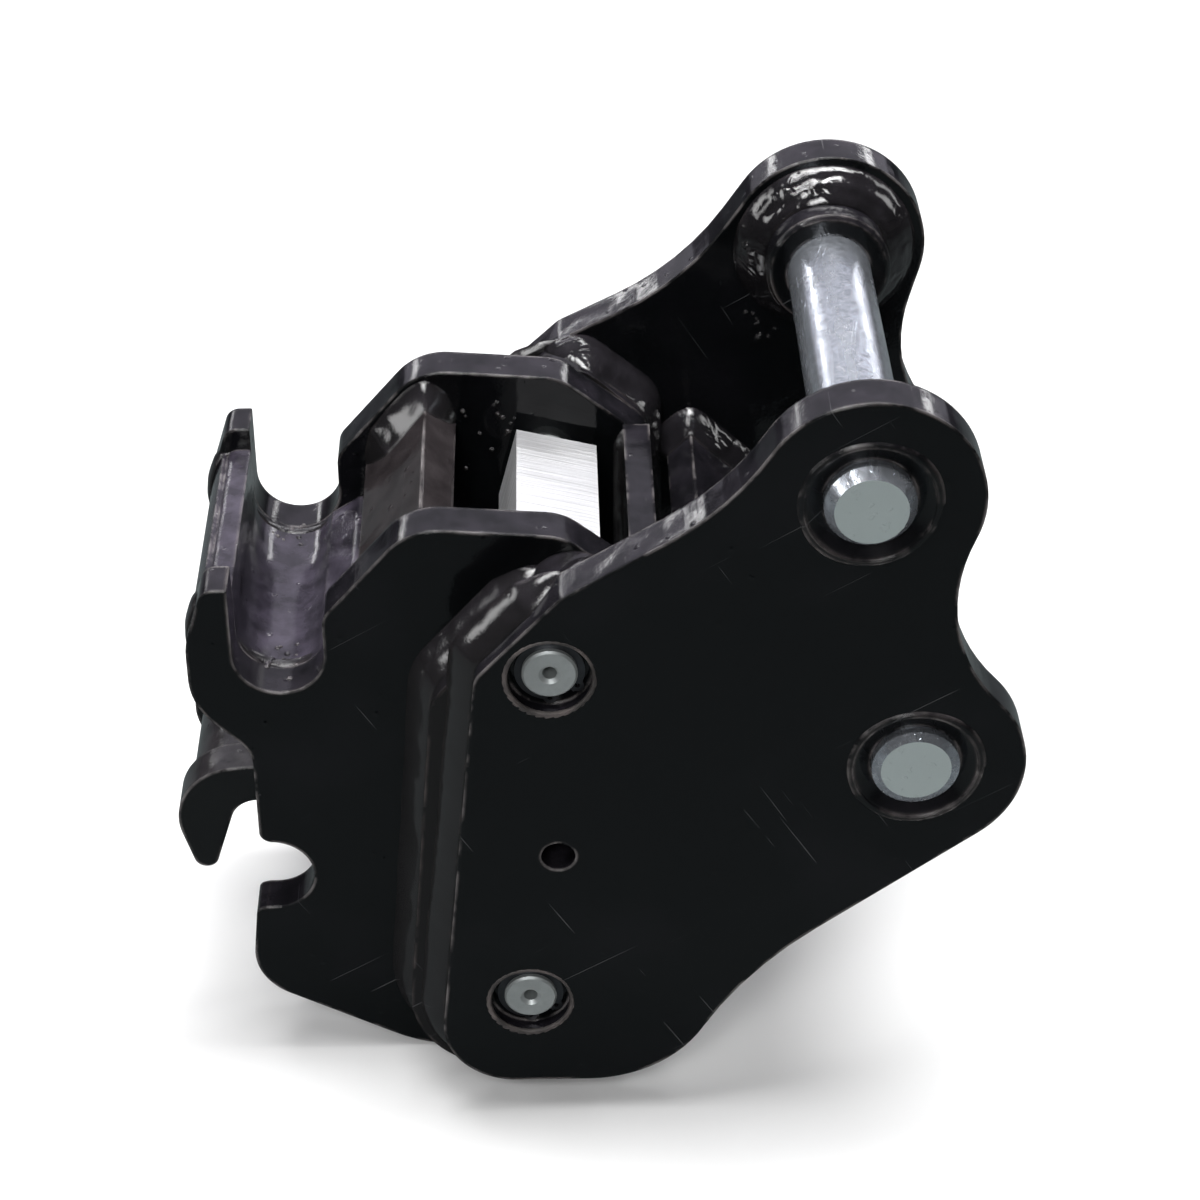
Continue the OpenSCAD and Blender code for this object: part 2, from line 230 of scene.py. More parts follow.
def noise_tex(tree, vector, scale, detail=4, rough=0.55, distort=0.0):
    node = tree.nodes.new("ShaderNodeTexNoise")
    node.inputs["Scale"].default_value = scale
    node.inputs["Detail"].default_value = detail
    node.inputs["Roughness"].default_value = rough
    node.inputs["Distortion"].default_value = distort
    tree.links.new(vector, node.inputs["Vector"])
    return node.outputs["Fac"]


def ramp(tree, value, low, high, a=0.0, b=1.0):
    """Goes from a to b while the value goes from low to high, and stays there outside."""
    node = tree.nodes.new("ShaderNodeMapRange")
    for socket, number in (("From Min", low), ("From Max", high), ("To Min", a), ("To Max", b)):
        node.inputs[socket].default_value = number
    tree.links.new(value, node.inputs["Value"])
    return node.outputs[0]


def math_node(tree, operation, *values):
    node = tree.nodes.new("ShaderNodeMath")
    node.operation = operation
    for socket, value in zip(node.inputs, values):
        if isinstance(value, (int, float)):
            socket.default_value = value
        else:
            tree.links.new(value, socket)
    return node.outputs[0]


def times(tree, a, b):
    return math_node(tree, "MULTIPLY", a, b)


def plus(tree, a, b):
    return math_node(tree, "ADD", a, b)


def mix_color(tree, amount, a, b):
    node = tree.nodes.new("ShaderNodeMix")
    node.data_type = "RGBA"
    tree.links.new(amount, node.inputs[0])
    for socket, color in ((6, a), (7, b)):
        if isinstance(color, tuple):
            node.inputs[socket].default_value = (*color, 1)
        else:
            tree.links.new(color, node.inputs[socket])
    return node.outputs[2]


def bump(tree, height, strength, distance, below=None):
    node = tree.nodes.new("ShaderNodeBump")
    node.inputs["Strength"].default_value = strength
    node.inputs["Distance"].default_value = distance
    tree.links.new(height, node.inputs["Height"])
    if below is not None:
        tree.links.new(below, node.inputs["Normal"])
    return node.outputs[0]


def facing(tree, axis):
    """The surface normal's part along an axis: 1 is Y and 2 is Z."""
    geometry = tree.nodes.new("ShaderNodeNewGeometry")
    split = tree.nodes.new("ShaderNodeSeparateXYZ")
    tree.links.new(geometry.outputs["Normal"], split.inputs[0])
    return split.outputs[axis]


def bevelled(tree, radius):
    """The normal rounded over the edges, and its agreement with the true one, which falls below 1 there."""
    bevel = tree.nodes.new("ShaderNodeBevel")
    bevel.samples = 4
    bevel.inputs["Radius"].default_value = radius
    geometry = tree.nodes.new("ShaderNodeNewGeometry")
    dot = tree.nodes.new("ShaderNodeVectorMath")
    dot.operation = "DOT_PRODUCT"
    tree.links.new(bevel.outputs[0], dot.inputs[0])
    tree.links.new(geometry.outputs["Normal"], dot.inputs[1])
    return bevel.outputs[0], dot.outputs["Value"]


# ---------- black paint ----------

EDGE_R = 0.0025                    # how far from an edge the normal is rounded, the paint is rubbed and a painted sheen and highlight are laid
THIN_PAINT_AND_SHEEN = (0.15, 0.125, 0.12)   # paint worn thin beside an edge, also lightened as a painted sheen
PAINTED_EDGE_HIGHLIGHT = (0.36, 0.34, 0.34)     # a painted highlight along the edge itself, light grey like bare steel
HAIR_COLOR = (0.10, 0.10, 0.105)   # scratches and pale specks


def hairlines(tree, broad, fine):
    """A mask of a few long scratches in two directions, and of specks."""
    one = noise_tex(tree, coords(tree, (5, 1, 760), (0, 0.55, 0)), 1.0, 1)
    two = noise_tex(tree, coords(tree, (15, 1, 600), (0, -1.0, 0)), 1.0, 1)
    hair = math_node(tree, "MAXIMUM", ramp(tree, one, 0.73, 0.76), ramp(tree, two, 0.745, 0.77))
    hair = times(tree, hair, ramp(tree, broad, 0.5, 0.56))
    return math_node(tree, "MAXIMUM", hair, ramp(tree, fine, 0.77, 0.79))


def cut_marks(tree):
    """Flame-cut lines, only on faces that run through the plate's thickness."""
    lines = noise_tex(tree, coords(tree, (520, 9, 520)), 1.0, 2)
    side = ramp(tree, math_node(tree, "ABSOLUTE", facing(tree, 1)), 0.9, 0.3)
    return times(tree, lines, side)


def drops(tree, base, middle):
    """Small round drops under the paint, in patches."""
    cells = tree.nodes.new("ShaderNodeTexVoronoi")
    cells.inputs["Scale"].default_value = 120
    tree.links.new(base, cells.inputs["Vector"])
    return times(tree, ramp(tree, cells.outputs["Distance"], 0.22, 0.05), ramp(tree, middle, 0.52, 0.6))


def paint(name, black=(0.0027, 0.0031, 0.0035), dust_and_sheen_color=(0.020, 0.018, 0.023), gloss=(0.04, 0.13),
          specular=0.32, wave=0.25, wear_and_sheen=0.5, lumps=0.0, cut_lines=0.05, swirl=0.0, highlight_strength=0.9):
    """Thick glossy black paint over steel plate, rubbed and given a painted sheen and highlight on its edges,
    and dusty with a painted sheen on top.

    gloss is the range of roughness, wave the depth of the runs, wear_and_sheen how much paint is worn thin
    and lightened as a painted sheen by the edges, highlight_strength how bright the painted highlight on the
    very edge is, and lumps, cut_lines and swirl the depths of those marks.
    """
    mat, t, bsdf = material(name)
    base = coords(t)
    broad = noise_tex(t, base, 14, 3)
    middle = noise_tex(t, base, 70, 5)
    fine = noise_tex(t, base, 650, 3)
    rounded, agreement = bevelled(t, EDGE_R)
    hair = hairlines(t, broad, fine)
    # paint worn thin by the edges, lightened there as a painted sheen
    worn_and_sheen = times(t, ramp(t, agreement, 0.999, 0.94), ramp(t, middle, 0.42, 0.66, 0.0, wear_and_sheen))
    # a painted highlight along the very edge
    painted_highlight = times(t, ramp(t, agreement, 0.92, 0.80), ramp(t, middle, 0.44, 0.62, 0.03 * highlight_strength, 0.8 * highlight_strength))

    # lighter on faces that look up: dust, mixed with a painted sheen in place of reflected light
    dust_and_sheen = times(t, ramp(t, facing(t, 2), 0.2, 0.9), ramp(t, middle, 0.35, 0.7, 0.25, 1.0))
    dust_and_sheen = plus(t, dust_and_sheen, ramp(t, broad, 0.5, 0.8, 0.0, 0.12))
    color = mix_color(t, dust_and_sheen, black, dust_and_sheen_color)
    color = mix_color(t, worn_and_sheen, color, THIN_PAINT_AND_SHEEN)
    color = mix_color(t, painted_highlight, color, PAINTED_EDGE_HIGHLIGHT)
    color = mix_color(t, times(t, hair, 0.38), color, HAIR_COLOR)
    t.links.new(color, bsdf.inputs["Base Color"])
    rough = plus(t, ramp(t, middle, 0.3, 0.75, *gloss), times(t, worn_and_sheen, 0.25))
    t.links.new(rough, bsdf.inputs["Roughness"])
    bsdf.inputs["Specular IOR Level"].default_value = specular

    n = bump(t, broad, wave, 0.004, rounded)
    n = bump(t, noise_tex(t, base, 52, 1), 0.28, 0.0014, n)
    n = bump(t, fine, 0.10, 0.0004, n)
    if swirl:
        n = bump(t, noise_tex(t, base, 78, 1, 0.4, 1.6), swirl, 0.0022, n)
    if cut_lines:
        n = bump(t, cut_marks(t), cut_lines, 0.0006, n)
    if lumps:
        n = bump(t, drops(t, base, middle), lumps, 0.0012, n)
    n = bump(t, hair, 0.25, 0.0003, n)
    t.links.new(n, bsdf.inputs["Normal"])
    return mat


PAINT = paint("black_paint", lumps=0.35)
PAINT_PLATE = paint("black_paint_plate", gloss=(0.03, 0.11), wave=0.18, lumps=0.5)
# the saddle's light purple dust_and_sheen_color is dust and a painted sheen on its seat
PAINT_SADDLE = paint("black_paint_saddle", dust_and_sheen_color=(0.058, 0.050, 0.070), gloss=(0.05, 0.14), wave=0.35,
                     lumps=0.9, specular=0.6)
PAINT_BOSS = paint("black_paint_boss", gloss=(0.08, 0.2), wave=0.3, cut_lines=0.0, specular=0.45)
PAINT_CLAW = paint("black_paint_claw", dust_and_sheen_color=(0.05, 0.045, 0.05), gloss=(0.08, 0.25), wave=0.4,
                   lumps=0.4, specular=0.45)
PAINT_CROSS = paint("black_paint_cross_plate", black=(0.013, 0.0108, 0.0115),
                    dust_and_sheen_color=(0.044, 0.038, 0.040), wave=0.3, lumps=0.5)
PAINT_SPACER = paint("black_paint_spacer", black=(0.0075, 0.0072, 0.0074), highlight_strength=0.0)
PAINT_WELD = paint("black_paint_weld", black=(0.0095, 0.0090, 0.0094), dust_and_sheen_color=(0.022, 0.020, 0.024),
                   gloss=(0.05, 0.14), wave=0.3, wear_and_sheen=0.2, specular=0.6, cut_lines=0.0, lumps=0.3,
                   highlight_strength=0.0)
PAINT_RING = paint("black_paint_ring_weld", black=(0.0060, 0.0056, 0.0062),
                   dust_and_sheen_color=(0.022, 0.020, 0.024), gloss=(0.04, 0.12), wave=0.3, wear_and_sheen=0.2, specular=0.7,
                   cut_lines=0.0, lumps=0.3, swirl=0.4, highlight_strength=0.0)
RIM = paint("rubbed_rim", black=(0.045, 0.041, 0.040), dust_and_sheen_color=(0.16, 0.15, 0.145), gloss=(0.3, 0.5),
            wear_and_sheen=1.0, wave=0.8, swirl=0.8, cut_lines=0.0, highlight_strength=0.0)


# ---------- bare steel, bronze and seals ----------

SAWN_END = (0.27, 0.315, 0.315)   # dull, slightly green end faces
PAINTED_GLINT_COLOR = (0.9, 0.9, 0.92)     # painted glints: short bright curls on the chrome


def steel(name, tint, rough, grain, grain_depth, stain, scratch, metal=1.0, ends=False, blotch=1.0,
          lined=0.5, mottle_and_glints=0.0):
    """Bare metal with a grain; grain is the noise's scale along X, Y and Z.

    stain is how much darker the marks are; blotch, lined and mottle_and_glints say how strongly broad stains,
    lines along the grain and small marks show, and a nonzero mottle_and_glints also adds painted glints; ends
    makes the faces across Y dull.
    """
    mat, t, bsdf = material(name)
    base = coords(t)
    broad = noise_tex(t, base, 45, 4, 0.6)
    fine = noise_tex(t, base, 420, 4)
    line = noise_tex(t, coords(t, grain), 1.0, 3)
    dark = tuple(c * (1 - stain) for c in tint)
    color = mix_color(t, ramp(t, broad, 0.38, 0.66, 0, blotch), tint, dark)
    color = mix_color(t, ramp(t, line, 0.45, 0.7, 0, lined), color, dark)
    if mottle_and_glints:
        color = mix_color(t, ramp(t, fine, 0.46, 0.62, 0, mottle_and_glints), color, dark)
        # painted glints: thin near-white curls laid into the colour
        glint_noise = noise_tex(t, base, 60, 2, 0.5, 4.0)
        glint_mask = math_node(t, "ABSOLUTE", math_node(t, "SUBTRACT", glint_noise, 0.5))
        color = mix_color(t, ramp(t, glint_mask, 0.010, 0.003, 0, 0.6), color, PAINTED_GLINT_COLOR)
    r = plus(t, ramp(t, line, 0.3, 0.7, *rough), ramp(t, broad, 0.4, 0.7, 0, 0.08))
    bsdf.inputs["Metallic"].default_value = metal
    if ends:
        end = ramp(t, math_node(t, "ABSOLUTE", facing(t, 1)), 0.93, 0.97)
        color = mix_color(t, end, color, SAWN_END)
        r = plus(t, r, times(t, end, 0.3))
        t.links.new(ramp(t, end, 0, 1, metal, 0.15), bsdf.inputs["Metallic"])
    t.links.new(color, bsdf.inputs["Base Color"])
    t.links.new(r, bsdf.inputs["Roughness"])
    n = bump(t, line, grain_depth, 0.0003)
    n = bump(t, fine, 0.08, 0.0002, n)
    if scratch:
        marks = noise_tex(t, coords(t, (260, 6, 260), (0.12, 0.3, 0.2)), 1.0, 1)
        n = bump(t, ramp(t, marks, 0.66, 0.7), scratch, 0.0002, n)
    t.links.new(n, bsdf.inputs["Normal"])
    return mat


CHROME = steel("hard_chrome", (0.62, 0.66, 0.73), (0.14, 0.28), (170, 6, 170), 0.35, 0.46, 0.8,
               metal=0.85, ends=True, blotch=0.8, lined=0.7, mottle_and_glints=0.8)
ZINC = steel("zinc_plate", (0.50, 0.53, 0.53), (0.42, 0.55), (300, 300, 300), 0.12, 0.15, 0.0,
             metal=0.75)
MILLED = steel("milled_steel", (0.88, 0.88, 0.90), (0.32, 0.46), (9, 620, 9), 0.8, 0.30, 0.1,
               metal=0.8, blotch=0.1, lined=1.0)
SPRING = steel("spring_steel", (0.12, 0.12, 0.13), (0.3, 0.45), (80, 80, 80), 0.2, 0.3, 0.0)
ROD = steel("rod_chrome", (0.75, 0.76, 0.79), (0.08, 0.16), (12, 12, 12), 0.05, 0.15, 0.0)
BRONZE = steel("bearing_bronze", (0.55, 0.38, 0.18), (0.25, 0.4), (30, 400, 30), 0.2, 0.3, 0.0)
RUBBER = steel("seal_rubber", (0.02, 0.02, 0.021), (0.55, 0.7), (90, 90, 90), 0.2, 0.2, 0.0,
               metal=0.0)
BLUE = steel("seal_blue", (0.05, 0.14, 0.3), (0.45, 0.6), (90, 90, 90), 0.2, 0.2, 0.0, metal=0.0)

LOOKS = (
    (PAINT, ("ear_near", "ear_far", "rear_wall_plate", "arm_side_plate", "bottom_plate",
             "cylinder_barrel")),
    (PAINT_PLATE, ("body_plate_near", "body_plate_far")),
    (PAINT_SPACER, ("spacer_near", "spacer_far")),
    (PAINT_BOSS, ("upper_boss_near", "upper_boss_far", "lower_boss_near", "lower_boss_far")),
    (PAINT_SADDLE, ("hook_saddle",)),
    (PAINT_CROSS, ("front_cross_plate",)),
    (PAINT_CLAW, ("claw_cheek_near", "claw_cheek_far", "claw_nose", "rod_eye")),
    (CHROME, ("upper_arm_pin", "lower_arm_pin")),
    (ZINC, ("pin_lock_screws", "claw_pivot_pin", "cylinder_pin", "rod_pin", "gland")),
    (MILLED, ("cylinder_block", "piston")),
    (SPRING, ("pin_circlips", "rod_pin_rings")),
    (ROD, ("piston_rod",)),
    (BRONZE, ("claw_bush_near", "claw_bush_far")),
    (RUBBER, ("rod_wiper",)),
    (BLUE, ("piston_seal",)),
)
LOOK_OF = {name: look for look, names in LOOKS for name in names}
for name, ob in nodes.items():
    ob.data.materials.clear()
    ob.data.materials.append(LOOK_OF[name])


# ---------- weld beads ----------

ACROSS = 13         # points across a bead
BEAD_STEP = 0.0013  # between two sections of a bead
PATH_STEP = 0.004   # between the points of a path before it gets its directions
RING_POINTS = 72


def wobble(x, y, z):
    """Smooth noise from about -1 to 1, the same in every run."""
    return noise.noise(Vector((x, y, z)))


def add_mesh(name, verts, faces, look, body):
    mesh = bpy.data.meshes.new(name)
    mesh.from_pydata([tuple(v) for v in verts], [], faces)
    mesh.validate()
    mesh.update()
    for face in mesh.polygons:
        face.use_smooth = True
    ob = bpy.data.objects.new(name, mesh)
    scene.collection.objects.link(ob)
    mesh.materials.append(look)
    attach(ob, body)


def directions_along(v, corner, where, closed):
    """Directions at parts of the bead's length, from one direction or from one for each corner point."""
    v = np.asarray(v, float)
    if v.ndim == 1:
        return np.tile(v, (len(where), 1))
    if closed:
        corner = np.vstack([corner, corner[:1]])
        v = np.vstack([v, v[:1]])
    d = length_along(corner)
    return unit(np.stack([np.interp(where, d / d[-1], v[:, i]) for i in range(3)], 1))


def bead_height(at, t, uneven, bulge, pitch, ripple, passes, seed):
    """How far the bead stands out at the part t of its width, as a share of its thickness."""
    hump = 4 * t * (1 - t)
    swell = wobble(at * 14 + seed * 2.9, seed * 3.7, 9)
    wave = math.sin(2 * math.pi * (at - hump * pitch * 0.9) / pitch + 1.5 * uneven)
    rise = bulge * (1 + 0.6 * swell) * hump + ripple * wave * hump
    if passes:
        drift = 0.25 * wobble(at * 60, seed, 2)
        groove = abs(math.sin(math.pi * passes * (t + drift * hump)))
        rise += 0.035 * groove * min(1.0, 2 * hump)
    return rise + 0.016 * hump * wobble(at * 110, t * 2.6, seed)


def bead_faces(sections, back, closed):
    """Faces over the bead and along its back, whose points start at number `back`."""
    faces = []
    rows = sections if closed else sections - 1
    for i in range(rows):
        j = (i + 1) % sections
        for k in range(ACROSS - 1):
            faces.append((i * ACROSS + k, j * ACROSS + k, j * ACROSS + k + 1, i * ACROSS + k + 1))
    for i in range(rows):
        j = (i + 1) % sections
        faces.append((i * ACROSS + ACROSS - 1, j * ACROSS + ACROSS - 1, back + j, back + i))
        faces.append((back + i, back + j, j * ACROSS, i * ACROSS))
    if not closed:
        first = list(range(ACROSS))
        last = [(sections - 1) * ACROSS + k for k in reversed(range(ACROSS))]
        faces.append((*first, back))
        faces.append((*last, back + sections - 1))
    return faces


def fillet(name, corner, a, b, leg_a, leg_b, look=PAINT_WELD, body="frame", slot="weld_paint",
           closed=False, bulge=0.14, pitch=0.010, ripple=0.003, wander=0.06, passes=0, seed=1,
           sink=0.0012, taper=0.010):
    """A weld bead in the corner of two faces. a and b point away from the corner along each face.

    bulge, ripple and wander are shares of the bead's size, pitch is the length of a ripple, and
    passes the number of runs side by side. The bead starts `sink` inside the corner, and an open
    one narrows over the length `taper` at its ends.
    """
    corner = np.asarray(corner, float)
    s, points = resample(corner, BEAD_STEP, closed)
    where = np.linspace(0, 1, len(points), endpoint=not closed)
    way_a = directions_along(a, corner, where, closed)
    way_b = directions_along(b, corner, where, closed)
    out = unit(way_a + way_b)
    thick = math.sqrt(leg_a * leg_b)
    verts = []
    for i, at in enumerate(s):
        end = 1.0 if closed else min(1.0, min(at, s[-1] - at) / taper + 0.02) ** 0.6
        uneven_a = wobble(at * 32 + seed * 7.3, seed * 1.7, 0)
        uneven_b = wobble(at * 32 + seed * 3.1, seed * 5.7, 4)
        side_a = way_a[i] * leg_a * (1 + wander * uneven_a) * end
        side_b = way_b[i] * leg_b * (1 + wander * uneven_b) * end
        inner = points[i] - out[i] * sink
        for t in np.linspace(0, 1, ACROSS):
            rise = bead_height(at, t, uneven_a, bulge, pitch, ripple, passes, seed)
            verts.append(inner + side_a * (1 - t) + side_b * t + out[i] * rise * thick * end)
    faces = bead_faces(len(points), len(verts), closed)
    verts.extend(points - out * (sink + 0.001))
    add_mesh(name, verts, faces, look, body)


def edge_weld(name, node, y, side, start, end, leg_a, leg_b, **more):
    """A bead where a plate's edge stands on a wider plate. y is the plane where they touch."""
    _, path = resample(stretch(outlines(node, y)[0], start, end), PATH_STEP)
    fillet(name, at_y(path, y), at_y(outward(path, smooth=7), 0), (0, side, 0), leg_a, leg_b, **more)


def bent_weld(name, points, ways, b, leg_a, leg_b, **more):
    """A bead along straight edges that meet in corners. ways holds the direction of leg a for each edge."""
    path = []
    turned = []
    ways = [unit(way) for way in ways]
    points = [np.array(p, float) for p in points]
    for i, (p, q) in enumerate(zip(points, points[1:])):
        length = np.linalg.norm(q - p)
        inset = (q - p) / length * min(0.006, length / 3)
        if i == 0:
            path.append(p)
            turned.append(ways[0])
        path.extend([p + inset, q - inset, q])
        turned.extend([ways[i], ways[i], unit(ways[i] + ways[min(i + 1, len(ways) - 1)])])
    fillet(name, path, turned, b, leg_a, leg_b, **more)


def ring_weld(name, c, y, radius, side, leg_a, leg_b, **more):
    """A bead round a boss. side is the Y direction from the plate towards the boss's free end."""
    ring = around(np.linspace(0, 2 * math.pi, RING_POINTS, endpoint=False))
    fillet(name, at_y(np.array(c) + radius * ring, y), at_y(ring, 0), (0, side, 0), leg_a, leg_b,
           closed=True, **more)


def across(p, y):
    return (p.x, y, p.z)


def boss_and_rim_beads(side, tag):
    """Weld rings inside the ears, thin seams and rubbed rims on their outer faces."""
    for what, seed in (("upper", 3), ("lower", 8)):
        ring_weld(f"weld_{what}_boss_{tag}", ARM_PINS[what], side * EAR_IN, BOSS_R, -side, 0.0155,
                  0.015, look=PAINT_RING, bulge=0.10, ripple=0.006, passes=3, wander=0.10,
                  seed=seed + side)
    for what in BOSSES:
        ring_weld(f"seam_{what}_boss_{tag}", ARM_PINS[what], side * EAR_OUT, BOSS_R - 0.0014, side,
                  0.0036, 0.0013, look=PAINT_BOSS, bulge=0.3, wander=0.4, sink=0.0004,
                  seed=130 + side)
    for what, c in SMALL_PINS.items():
        ring_weld(f"rim_{what}_{tag}", c, side * EAR_OUT, PIN_RECESS_R, side, 0.0019, 0.0007,
                  look=RIM, bulge=0.3, ripple=0.2, pitch=0.004, wander=0.9, sink=0.0004,
                  seed=140 + side)


def ear_and_spacer_beads(side, tag):
    """The long beads down the outside, where each plate stands on the next, and over the spacer's top."""
    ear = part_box("ear_" + tag)
    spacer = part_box("spacer_" + tag)
    edge_weld(f"weld_ear_{tag}", "ear_" + tag, side * EAR_IN, side,
              (ear[0].x + 0.055, ear[1].z - 0.093), (ear[0].x + 0.05, ear[0].z), 0.0125, 0.0125,
              bulge=0.10, seed=20 + side, taper=0.02)
    # the far bead starts lower, behind the body plate's top edge
    near_top = (spacer[0].x + 0.062, spacer[1].z - 0.010)
    far_top = (spacer[0].x + 0.020, spacer[1].z - 0.058)
    edge_weld(f"weld_spacer_{tag}", "spacer_" + tag, side * PLATE_OUT, side,
              near_top if side < 0 else far_top, (spacer[0].x + 0.05, spacer[0].z), 0.0115, 0.019,
              bulge=0.10, seed=30 + side, taper=0.02)
    edge_weld(f"weld_cap_{tag}", "spacer_" + tag, side * EAR_IN, -side,
              (spacer[1].x, spacer[0].z + 0.045), (spacer[0].x + 0.068, spacer[1].z - 0.003),
              0.0085, 0.0250, bulge=0.17, ripple=0.006, wander=0.22, seed=40 + side, taper=0.022,
              look=PAINT_RING)


def inner_plate_beads(side, tag):
    """Beads at the ends of the two leaning plates and of the rear wall."""
    inward = (0, -side, 0)
    corners = [across(p, side * EAR_IN) for p in (ARM_LOW, ARM_LEFT, ARM_TOP, ARM_RIGHT)]
    bent_weld(f"weld_arm_plate_{tag}", corners, [(-1, 0, -1), (-1, 0, 1), (1, 0, 1)], inward,
              0.0115, 0.0135, bulge=0.08, ripple=0.006, wander=0.22, seed=60 + side, taper=0.016,
              look=PAINT_RING)
    corners = [across(p, side * PLATE_IN) for p in (CROSS_LEFT, CROSS_TOP, CROSS_RIGHT)]
    bent_weld(f"weld_cross_{tag}", corners, [(-0.768, 0, 0.640), (0.679, 0, 0.734)], inward,
              0.0125, 0.0145, bulge=-0.05, ripple=0.004, wander=0.2, seed=70 + side, taper=0.018)
    low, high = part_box("rear_wall_plate")
    edge = [(low.x, side * PLATE_IN, high.z - 0.002), (low.x, side * PLATE_IN, low.z + 0.01)]
    fillet(f"weld_wall_{tag}", edge, (-1, 0, 0), inward, 0.006, 0.006, seed=80 + side)


def saddle_seams(side, tag):
    """Seams between the hook's saddle and the body plate, inside the hook and on its outer face."""
    y_way = np.array([0, side, 0.0])
    ring = around(np.radians(np.linspace(182, 330, 40)))
    seam = at_y(np.array(HOOK) + (HOOK_R + 0.0009) * ring, side * (PLATE_IN - 0.0035))
    to_centre = at_y(-ring, 0)
    fillet(f"seam_saddle_{tag}", seam, y_way * 0.96 + to_centre * 0.28,
           -y_way * 0.96 + to_centre * 0.28, 0.0034, 0.0034, bulge=0.12, ripple=0.01, wander=0.15,
           seed=90 + side, sink=0.0002)
    edge = stretch(outlines("hook_saddle", side * PLATE_IN)[0], (HOOK[0] - 0.031, SADDLE_TOP),
                   (HOOK[0] - 0.004, HOOK[1] - SADDLE_R))
    _, edge = resample(edge, 0.003)
    away = at_y(outward(edge), 0)
    fillet(f"seam_hook_{tag}", at_y(edge, side * (PLATE_IN + 0.001)), y_way * 0.97 + away * 0.2,
           -y_way * 0.97 + away * 0.2, 0.0075, 0.0075, bulge=0.24, ripple=0.008, wander=0.2,
           seed=97 + side, sink=0.0006)


def nose_bead(side, tag):
    """The bead along the nose, between it and a cheek of the claw."""
    low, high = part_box("claw_nose")
    y = side * high.y
    path = stretch(outlines("claw_nose", y)[0], (high.x, high.z - 0.01), (low.x, low.z + 0.012))
    _, path = resample(path, PATH_STEP)
    fillet(f"weld_nose_{tag}", at_y(path, y), at_y(outward(path), 0), (0, -side, 0), 0.0022, 0.009,
           body="claw", slot="claw_paint", bulge=0.2, ripple=0.03, wander=0.2, seed=110 + side)


for side, tag in SIDES:
    boss_and_rim_beads(side, tag)
    ear_and_spacer_beads(side, tag)
    inner_plate_beads(side, tag)
    saddle_seams(side, tag)
for side, tag in SIDES:
    nose_bead(side, tag)


# ---------- weld spatter under the paint ----------

DROP_RINGS = 4
DROP_SIDES = 10
DROP_SIZE = 0.0009   # the smallest drop's radius


def spatter(name, spots, look, seed):
    """Small flattened drops. spots holds (place, outward normal) pairs."""
    verts = []
    faces = []
    for n, (place, normal) in enumerate(spots):
        place = Vector(place)
        normal = Vector(normal).normalized()
        side = normal.orthogonal().normalized()
        other = normal.cross(side)
        size = DROP_SIZE + 2 * DROP_SIZE * abs(wobble(n * 3.7, seed, 1.3))
        first = len(verts)
        for i in range(DROP_RINGS):
            lift = math.sin(i / DROP_RINGS * math.pi / 2)
            wide = math.cos(i / DROP_RINGS * math.pi / 2)
            for k in range(DROP_SIDES):
                a = 2 * math.pi * k / DROP_SIDES
                r = size * wide * (1 + 0.3 * wobble(math.cos(a), math.sin(a), n * 1.9 + seed))
                verts.append(place + (side * math.cos(a) + other * math.sin(a)) * r
                             + normal * (size * 0.75 * lift - 0.0002))
        verts.append(place + normal * size * 0.72)
        for i in range(DROP_RINGS - 1):
            at = first + i * DROP_SIDES
            for k in range(DROP_SIDES):
                j = (k + 1) % DROP_SIDES
                faces.append((at + k, at + j, at + DROP_SIDES + j, at + DROP_SIDES + k))
        top = first + (DROP_RINGS - 1) * DROP_SIDES
        for k in range(DROP_SIDES):
            faces.append((top + k, top + (k + 1) % DROP_SIDES, first + DROP_RINGS * DROP_SIDES))
        faces.append(tuple(first + k for k in reversed(range(DROP_SIDES))))
    add_mesh(name, verts, faces, look, "frame")


def scatter(count, seed):
    """Pairs of numbers between about -1 and 1."""
    return [(wobble(i * 5.3, seed, 0.5) * 1.6, wobble(i * 4.1, seed, 7.5) * 1.6) for i in range(count)]


def wall_spots(side):
    """On the body plate's inner face, beside the leaning plate."""
    return [((CROSS_TOP.x + 0.028 + 0.022 * u, side * PLATE_IN, CROSS_TOP.z - 0.018 + 0.026 * v),
             (0, -side, 0)) for u, v in scatter(16, 11 + side)]


def hook_spots(side):
    """In the hook's seat, near the body plate."""
    spots = []
    for u, v in scatter(14, 21 + side):
        a = math.radians(262 + 34 * u)
        r = HOOK_R + 0.0001
        spots.append(((HOOK[0] + r * math.cos(a), side * (PLATE_IN - 0.004 + 0.012 * v),
                       HOOK[1] + r * math.sin(a)), (-math.cos(a), 0, -math.sin(a))))
    return spots


def ear_spots(side):
    """On the ear's inner face, outside the weld round each boss."""
    spots = []
    for what, middle in (("upper", 232), ("lower", 150)):
        c = ARM_PINS[what]
        for u, v in scatter(9, 31 + side + middle):
            a = math.radians(middle + 22 * u)
            r = BOSS_R + 0.024 + 0.008 * v
            spots.append(((c[0] + r * math.cos(a), side * EAR_IN, c[1] + r * math.sin(a)),
                          (0, -side, 0)))
    return spots


for side, tag in SIDES:
    spatter(f"spatter_wall_{tag}", wall_spots(side), PAINT_WELD, 3 + side)
    spatter(f"spatter_hook_{tag}", hook_spots(side), PAINT_SADDLE, 5 + side)
    spatter(f"spatter_ear_{tag}", ear_spots(side), PAINT_WELD, 7 + side)


# ---------- floor and background ----------

PAPER = (0.86, 0.86, 0.86)
PAPER_WARM = tuple(c * 1.02 for c in PAPER)
PAPER_REFLECTED = (0.085, 0.098, 0.10)
FADE = (0.9, 2.4)        # over this distance from the coupler the floor fades into the background
FLOOR_HALF = 12
FLOOR_Z = -0.001
SKY_LIGHT = 0.017        # what the background gives as light; the camera sees it white


